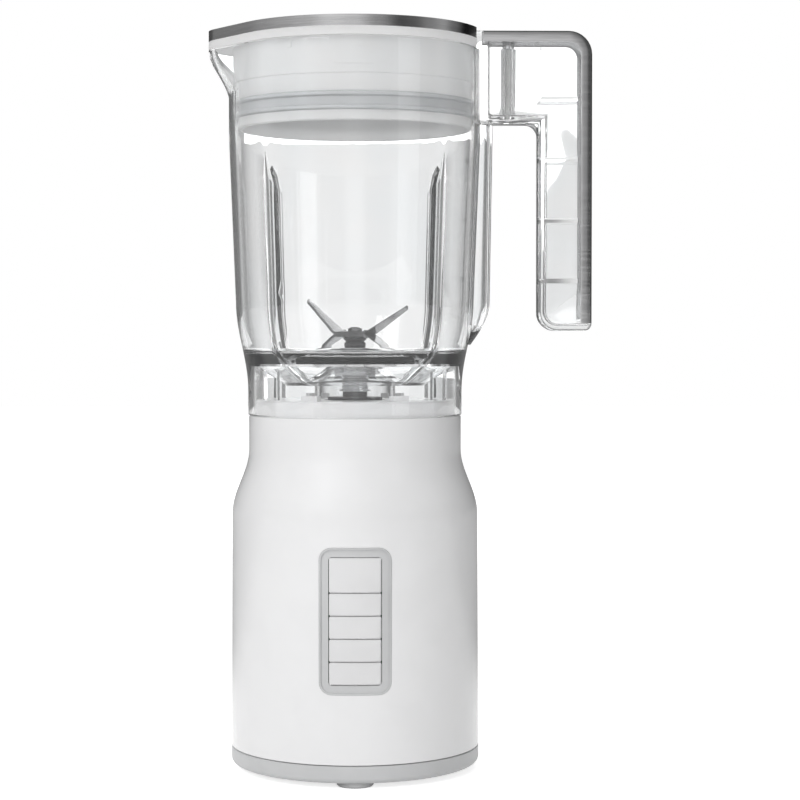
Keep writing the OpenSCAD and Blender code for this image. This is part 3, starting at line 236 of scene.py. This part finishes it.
MATERIALS = {
    "white_gloss": moulded((0.84, 0.84, 0.845), 0.24, 700, 0.05, 0.012, coat=0.25),
    "grey_satin": moulded((0.58, 0.585, 0.59), 0.42, 1600, 0.3, 0.03),
    "key_white": moulded((0.76, 0.76, 0.765), 0.36, 1500, 0.25, 0.02),
    "foot_rubber": moulded((0.52, 0.52, 0.525), 0.75, 1200, 0.6, 0.12),
    "gland_plastic": moulded((0.74, 0.74, 0.745), 0.45, 1200, 0.3, 0.03),
    "clear_plastic": clear(0.955, haze=0.02, absorb=8.0),
    "handle_plastic": clear(0.93, haze=0.1, absorb=9.0, rough=0.03),
    "brushed_steel": brushed((0.62, 0.62, 0.625), 0.14, (0.04, 0.04, 1.0), relief=0.15),
    # The blades' colour is far darker than steel's, as a painted reflection of dark surroundings
    "blade_steel": brushed((0.16, 0.16, 0.163), 0.16, (0.2, 1.0, 0.2), relief=0.15),
    # The deck's white is darker than the housing's as painted shade
    "deck_white_painted_shade": moulded((0.72, 0.72, 0.725), 0.3, 700, 0.05, 0.012, coat=0.1),
    "steel": turned((0.60, 0.60, 0.61), 0.24),
    "black_plastic": moulded((0.012, 0.012, 0.013), 0.45, 1400, 0.4, 0.2),
    "lid_plastic": frosted((0.95, 0.95, 0.95), 0.5, share=0.55),
    "seal_silicone": moulded((0.52, 0.53, 0.54), 0.5, 1000, 0.3, 0.05, subsurface=0.15),
    "black_rubber": moulded((0.025, 0.025, 0.026), 0.7, 1200, 0.5, 0.15),
    "fastener_steel": turned((0.55, 0.55, 0.53), 0.34, 3200),
    "laminations": turned((0.30, 0.31, 0.33), 0.45, 4200, 0.8),
    "copper": wound((0.72, 0.30, 0.13), 420, "Z"),
    "commutator_copper": turned((0.80, 0.42, 0.24), 0.3, 1800),
    "brass": turned((0.78, 0.58, 0.27), 0.32, 2000),
    "carbon": moulded((0.03, 0.03, 0.032), 0.6, 2200, 0.5, 0.3),
    "cast_aluminium": moulded((0.55, 0.55, 0.56), 0.5, 800, 0.5, 0.08, metallic=1.0),
    "circuit_board": moulded((0.02, 0.16, 0.08), 0.4, 1500, 0.2, 0.15),
}
made = {name: material(name, build) for name, build in MATERIALS.items()}

SLOT_OF = {s["node"]: s["material_slot"] for s in frame["record"]["subparts"]}
# The deck shares its slot with the housing, but is less glossy, and its colour is darker as painted shade for
# the shade it lies in under the jug
LOOK_OF = dict(SLOT_OF, jug_seat="deck_white_painted_shade")


# ---- CAD nodes: finishes and smooth shading ----

def smoothing_group():
    """Smooth shading, with edges of more than SHARP_ANGLE kept sharp."""
    tree = bpy.data.node_groups.new("smooth_by_angle", "GeometryNodeTree")
    tree.interface.new_socket("Geometry", in_out="INPUT", socket_type="NodeSocketGeometry")
    tree.interface.new_socket("Geometry", in_out="OUTPUT", socket_type="NodeSocketGeometry")
    start = tree.nodes.new("NodeGroupInput")
    end = tree.nodes.new("NodeGroupOutput")
    angle = tree.nodes.new("GeometryNodeInputMeshEdgeAngle")
    compare = tree.nodes.new("FunctionNodeCompare")
    compare.operation = "GREATER_THAN"
    compare.inputs[1].default_value = SHARP_ANGLE
    faces = tree.nodes.new("GeometryNodeSetShadeSmooth")
    edges = tree.nodes.new("GeometryNodeSetShadeSmooth")
    edges.domain = "EDGE"
    edges.inputs["Shade Smooth"].default_value = False
    link = tree.links.new
    link(start.outputs[0], faces.inputs[0])
    link(faces.outputs[0], edges.inputs[0])
    link(angle.outputs["Unsigned Angle"], compare.inputs[0])
    link(compare.outputs[0], edges.inputs["Selection"])
    link(edges.outputs[0], end.inputs[0])
    return tree


SMOOTH = smoothing_group()


def weld(obj):
    mod = obj.modifiers.new("weld", "WELD")
    mod.merge_threshold = WELD_GAP


def smooth(obj):
    mod = obj.modifiers.new("smooth", "NODES")
    mod.node_group = SMOOTH


for name, obj in NODES.items():
    obj.data.materials.clear()
    obj.data.materials.append(made[LOOK_OF[name]])
    weld(obj)
    smooth(obj)


# ---- floor, world, lamps and camera ----

# What the lamps are aimed at, near the middle of the object's height
MIDDLE = (0, 0, 0.2)

FLOOR_HALF = 6.0
FLOOR_GREY = 0.82
FLOOR_GLOW = 0.7
# Share of its light that the floor loses in a mirror image, and where behind the axis, in metres, this
# loss starts and is full
FLOOR_DIM = 0.75
FLOOR_DIM_FROM, FLOOR_DIM_TO = 0.1, 0.5

# The room that glossy surfaces mirror: degrees from the front, positive towards the handle, and brightness
ROOM = (
    (-180, 0.05), (-135, 0.1), (-110, 0.3), (-90, 0.42), (-66, 0.5), (-45, 0.62), (-22, 0.9), (0, 0.8),
    (20, 0.4), (42, 0.1), (55, 0.14), (70, 0.3), (86, 0.45), (100, 0.2), (118, 0.01), (150, 0.05), (180, 0.05),
)

# Degrees between the dark upright flags; the first two stand half a step to either side of the front
FLAG_STEP = 45
# Half-widths of a flag in steps, up to its soft edge and with it
FLAG_CORE, FLAG_EDGE = 0.2, 0.39
# Share of the light that a flag takes from a ray that has met clear plastic 5 times or fewer, and 7 or more
FLAG_FEW, FLAG_MANY = 0.75, 0.95


def floor_mesh():
    mesh = bpy.data.meshes.new("floor")
    h = FLOOR_HALF
    mesh.from_pydata([(-h, -h, 0), (h, -h, 0), (h, h, 0), (-h, h, 0)], [], [(0, 1, 2, 3)])
    return mesh


def floor_material():
    """White floor, of which glossy surfaces mirror a darker one behind the object."""
    m = bpy.data.materials.new("floor")
    m.use_nodes = True
    s = Shader(m.node_tree)
    out = s.add("ShaderNodeOutputMaterial")
    path = s.add("ShaderNodeLightPath")
    glossy, through = path.outputs["Is Glossy Ray"], path.outputs["Is Transmission Ray"]
    place = s.add("ShaderNodeSeparateXYZ", Vector=s.stretch((1, 1, 1)))
    # a ray that clear plastic bends counts as glossy too, so it is taken out
    mirrored = s.math("SUBTRACT", glossy, through, clamp=True)
    dim = s.product(mirrored, s.remap(place.outputs[1], FLOOR_DIM_FROM, FLOOR_DIM_TO, 0, FLOOR_DIM))
    seen = s.math("MAXIMUM", path.outputs["Is Camera Ray"], s.math("MAXIMUM", glossy, through))
    diffuse = s.add("ShaderNodeBsdfDiffuse", Color=s.mix(dim, grey(FLOOR_GREY), grey(0.0)))
    glow = s.add("ShaderNodeEmission", Color=grey(1.0))
    s.put(glow, "Strength", s.product(seen, s.math("SUBTRACT", 1.0, dim), FLOOR_GLOW))
    add = s.add("ShaderNodeAddShader")
    s.set(add.inputs[0], diffuse.outputs[0])
    s.set(add.inputs[1], glow.outputs[0])
    s.put(out, "Surface", add.outputs[0])
    return m


def floor():
    obj = bpy.data.objects.new("floor", floor_mesh())
    SCENE.collection.objects.link(obj)
    obj.data.materials.append(floor_material())


def flags(s, around, z, depth):
    """Share of the light that the flags take, by a ray's direction and how often it met clear plastic."""
    # sixteen whole steps keep the sum above zero
    step = s.math("FRACT", s.math("ADD", s.product(around, 1 / FLAG_STEP), 16.0))
    off = s.math("ABSOLUTE", s.math("SUBTRACT", step, 0.5))
    beside = s.remap(off, FLAG_CORE, FLAG_EDGE, 1, 0)
    above_foot = s.remap(z, -0.55, -0.35, 0, 1)
    below_top = s.remap(z, 0.55, 0.8, 1, 0)
    dark = s.remap(depth, 5, 7, FLAG_FEW, FLAG_MANY, smooth=False)
    return s.product(beside, s.product(above_foot, below_top), dark)


def room(s, around, x, z):
    """Brightness of the mirrored room: walls by angle, and a ceiling that is darker on the handle side."""
    walls = s.add("ShaderNodeValToRGB")
    s.put(walls, "Fac", s.remap(around, -180, 180, 0, 1, smooth=False))
    bar = walls.color_ramp
    bar.interpolation = "EASE"
    while len(bar.elements) > 1:
        bar.elements.remove(bar.elements[-1])
    for i, (angle, value) in enumerate(ROOM):
        place = (angle + 180) / 360
        stop = bar.elements[0] if i == 0 else bar.elements.new(place)
        stop.position = place
        stop.color = grey(value)
    ceiling = s.remap(x, -0.5, 0.4, 0.8, 0.15)
    overhead = s.remap(z, 0.35, 0.9, 0, 1)
    return s.mix(overhead, walls.outputs[0], ceiling)


def ambient(s, x, y):
    """Soft light on dull surfaces: most from the front and straight behind, least from the handle side."""
    front_to_back = s.remap(y, -0.2, 0.4, 0.66, 0.32)
    straight_behind = s.remap(y, 0.75, 1.0, 0, 0.75)
    spout_to_handle = s.remap(x, -0.5, 0.5, 0.4, 0.12)
    sideways = s.remap(s.math("ABSOLUTE", x), 0.3, 0.9, 0, 1)
    return s.mix(sideways, s.math("ADD", front_to_back, straight_behind), spout_to_handle)


def world():
    """White to the camera and, but for the flags, through clear plastic; a room to mirrors; soft light."""
    w = bpy.data.worlds.new("studio")
    SCENE.world = w
    w.use_nodes = True
    s = Shader(w.node_tree)
    out = s.add("ShaderNodeOutputWorld")
    coords = s.add("ShaderNodeTexCoord")
    x, y, z = s.add("ShaderNodeSeparateXYZ", Vector=coords.outputs["Generated"]).outputs
    # angle from the front, in degrees, positive towards the handle
    around = s.product(s.math("ARCTAN2", x, s.product(y, -1.0)), 180 / math.pi)

    path = s.add("ShaderNodeLightPath")
    to_camera = path.outputs["Is Camera Ray"]
    through = path.outputs["Is Transmission Ray"]
    glossy = s.math("SUBTRACT", path.outputs["Is Glossy Ray"], through, clamp=True)
    diffuse = s.math("SUBTRACT", 1.0, s.math("MAXIMUM", s.math("MAXIMUM", glossy, through), to_camera))

    clear_view = s.math("SUBTRACT", 1.0, flags(s, around, z, path.outputs["Transmission Depth"]))
    value = s.math("ADD", s.product(through, clear_view), s.product(diffuse, ambient(s, x, y)))
    value = s.math("ADD", value, s.product(glossy, room(s, around, x, z)))
    back = s.add("ShaderNodeBackground", Color=grey(1.0), Strength=s.math("MAXIMUM", value, to_camera))
    s.put(out, "Surface", back.outputs[0])


def aim(obj, target):
    obj.rotation_euler = (Vector(target) - obj.location).to_track_quat("-Z", "Y").to_euler()


def lamp(name, where, size, watts):
    """Soft rectangular lamp, which glossy surfaces don't mirror."""
    data = bpy.data.lights.new(name, "AREA")
    data.shape = "RECTANGLE"
    data.size, data.size_y = size
    data.energy = watts
    obj = bpy.data.objects.new(name, data)
    obj.location = where
    aim(obj, MIDDLE)
    obj.visible_glossy = False
    SCENE.collection.objects.link(obj)


def camera():
    data = bpy.data.cameras.new("camera")
    data.lens = 95.4
    data.sensor_width = 36
    obj = bpy.data.objects.new("camera", data)
    obj.location = (0, -1.187, 0.241)
    aim(obj, (0.0252, 0, 0.205))
    SCENE.collection.objects.link(obj)
    SCENE.camera = obj


floor()
world()
lamp("key", (-1.1, -1.5, 1.3), (1.0, 1.4), 21)
lamp("fill", (1.6, -1.3, 0.7), (0.8, 1.2), 6)
lamp("back", (0.2, 2.0, 1.1), (1.4, 1.2), 10)
camera()
SCENE.view_settings.view_transform = "Standard"
